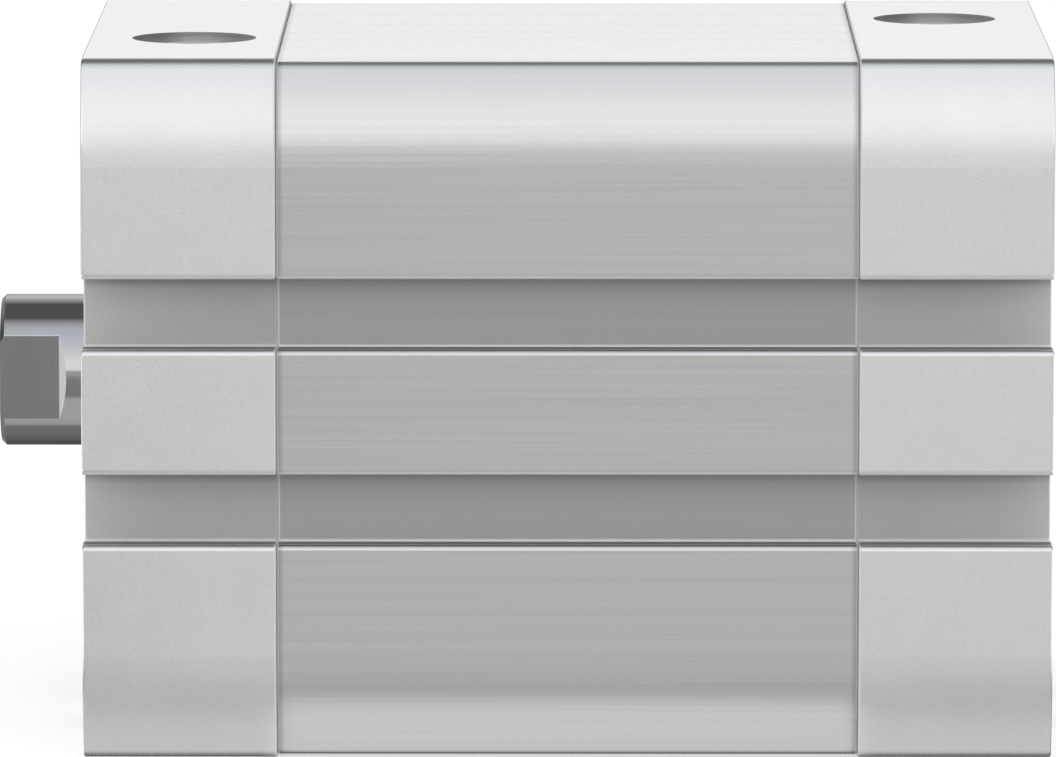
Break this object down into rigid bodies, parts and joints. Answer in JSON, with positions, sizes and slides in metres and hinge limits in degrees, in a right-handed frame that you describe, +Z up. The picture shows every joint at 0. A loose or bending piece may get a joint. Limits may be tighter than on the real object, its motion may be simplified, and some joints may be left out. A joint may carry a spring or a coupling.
{
  "type": "compact pneumatic cylinder",
  "caption": "Short square double-acting air cylinder: drawn slotted barrel between two caps with threaded ports on top, and a piston rod with wrench flats that slides out and can turn.",
  "frame": {"origin": "centre of the bearing cap's outer face, on the rod axis", "axes": "+X along the rod axis from the bearing cap to the end cap, +Z up through the ports; the rod comes out towards -X"},
  "size_m": [0.0824, 0.0544, 0.0544],
  "materials": {
    "barrel_aluminium": "anodised, drawn and brushed along its length",
    "cap_aluminium": "anodised, fine blasted",
    "screw_steel": "zinc plated",
    "rod_steel": "ground and polished",
    "piston_aluminium": "turned",
    "nut_steel": "zinc plated",
    "bush_bronze": "sintered and oiled",
    "magnet_ferrite": "moulded, matte",
    "guide_polymer": "moulded",
    "lip_polyurethane": "moulded, satin",
    "sealing_rubber": "moulded, matte",
    "cushion_elastomer": "moulded, matte"
  },
  "bodies": {
    "housing": {"barrel": "barrel_aluminium", "bearing_cap": "cap_aluminium", "end_cap": "cap_aluminium", "front_cap_screws": "screw_steel", "rear_cap_screws": "screw_steel", "front_barrel_seal": "sealing_rubber", "rear_barrel_seal": "sealing_rubber", "rod_bush": "bush_bronze", "rod_seal": "lip_polyurethane", "front_cushion_ring": "cushion_elastomer", "rear_cushion_ring": "cushion_elastomer"},
    "piston_packing": {"guide_ring": "guide_polymer", "front_piston_seal": "lip_polyurethane", "rear_piston_seal": "lip_polyurethane"},
    "piston_and_rod": {"piston_rod": "rod_steel", "front_piston_half": "piston_aluminium", "rear_piston_half": "piston_aluminium", "magnet_ring": "magnet_ferrite", "rod_sealing_ring": "sealing_rubber", "piston_nut": "nut_steel"}
  },
  "joints": [
    {"name": "rod_slide", "type": "slide", "parent": "housing", "child": "piston_packing", "axis": [-1, 0, 0], "range_m": [0, 0.03]},
    {"name": "rod_turn", "type": "hinge", "parent": "piston_packing", "child": "piston_and_rod", "pos_m": [0, 0, 0], "axis": [-1, 0, 0], "continuous": true}
  ]
}
